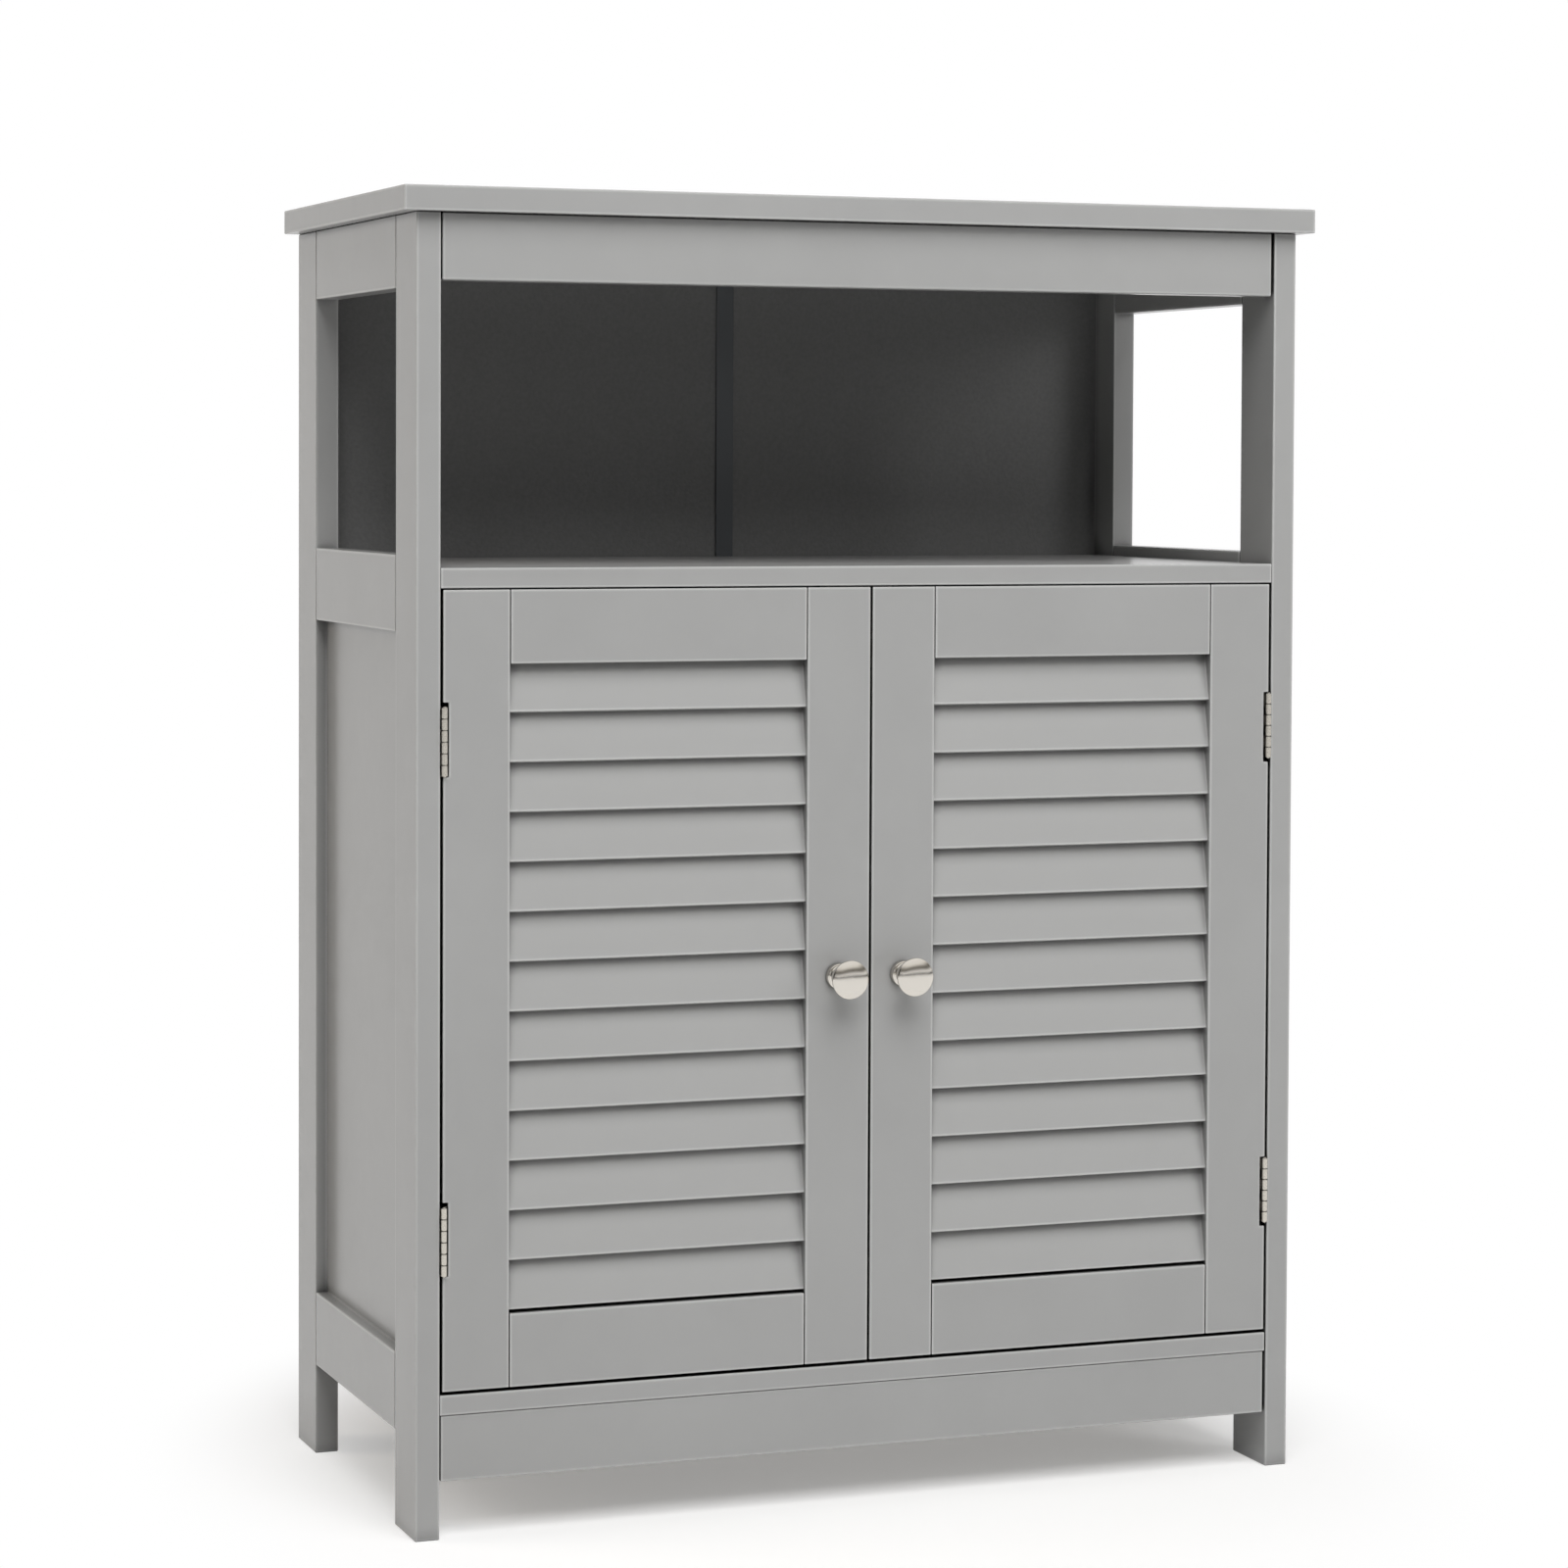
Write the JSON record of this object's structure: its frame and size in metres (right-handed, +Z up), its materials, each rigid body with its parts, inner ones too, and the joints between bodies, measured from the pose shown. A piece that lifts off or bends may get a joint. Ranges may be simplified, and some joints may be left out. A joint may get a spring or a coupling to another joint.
{
  "type": "louvred door cabinet",
  "caption": "Tall grey painted cabinet on short legs: open compartment with side windows over a cupboard closed by a pair of louvred doors with round knobs.",
  "frame": {"origin": "the middle of the bounding box's footprint, on the floor under the feet; the footprint's front edge is at the knobs' faces and its back edge at the back of the rear posts", "axes": "+X to the right as the cabinet is seen from the front, +Y to the back, +Z up"},
  "size_m": [0.595, 0.307, 0.8],
  "materials": {
    "painted_board": "satin grey paint on fibreboard and solid wood",
    "back_board": "matt grey paint on thin hardboard",
    "satin_nickel": "satin nickel plating",
    "strip_plastic": "matt grey extruded plastic",
    "catch_plastic": "matt off-white moulding"
  },
  "bodies": {
    "carcass": {"top_board": "painted_board", "middle_shelf": "painted_board", "bottom_board": "painted_board", "inner_shelf": "painted_board", "top_apron": "painted_board", "bottom_apron": "painted_board", "front_left_post": "painted_board", "front_right_post": "painted_board", "rear_left_post": "painted_board", "rear_right_post": "painted_board", "left_top_side_rail": "painted_board", "left_middle_side_rail": "painted_board", "left_bottom_side_rail": "painted_board", "right_top_side_rail": "painted_board", "right_middle_side_rail": "painted_board", "right_bottom_side_rail": "painted_board", "left_side_panel": "painted_board", "right_side_panel": "painted_board", "left_back_panel": "back_board", "right_back_panel": "back_board", "back_joint_strip": "strip_plastic", "door_catch": "catch_plastic", "left_upper_hinge_fixed_leaf": "satin_nickel", "left_lower_hinge_fixed_leaf": "satin_nickel", "right_upper_hinge_fixed_leaf": "satin_nickel", "right_lower_hinge_fixed_leaf": "satin_nickel"},
    "left_door": {"left_door_frame": "painted_board", "left_louvre_01": "painted_board", "left_louvre_02": "painted_board", "left_louvre_03": "painted_board", "left_louvre_04": "painted_board", "left_louvre_05": "painted_board", "left_louvre_06": "painted_board", "left_louvre_07": "painted_board", "left_louvre_08": "painted_board", "left_louvre_09": "painted_board", "left_louvre_10": "painted_board", "left_louvre_11": "painted_board", "left_louvre_12": "painted_board", "left_louvre_13": "painted_board", "left_upper_hinge_moving_leaf": "satin_nickel", "left_lower_hinge_moving_leaf": "satin_nickel", "left_door_knob": "satin_nickel"},
    "right_door": {"right_door_frame": "painted_board", "right_louvre_01": "painted_board", "right_louvre_02": "painted_board", "right_louvre_03": "painted_board", "right_louvre_04": "painted_board", "right_louvre_05": "painted_board", "right_louvre_06": "painted_board", "right_louvre_07": "painted_board", "right_louvre_08": "painted_board", "right_louvre_09": "painted_board", "right_louvre_10": "painted_board", "right_louvre_11": "painted_board", "right_louvre_12": "painted_board", "right_louvre_13": "painted_board", "right_upper_hinge_moving_leaf": "satin_nickel", "right_lower_hinge_moving_leaf": "satin_nickel", "right_door_knob": "satin_nickel"}
  },
  "joints": [
    {"name": "left_door_swing", "type": "hinge", "parent": "carcass", "child": "left_door", "pos_m": [-0.2708, -0.12945, 0.32555], "axis": [0, 0, -1], "range_deg": [0, 170]},
    {"name": "right_door_swing", "type": "hinge", "parent": "carcass", "child": "right_door", "pos_m": [0.2708, -0.12945, 0.32555], "axis": [0, 0, 1], "range_deg": [0, 170]}
  ]
}
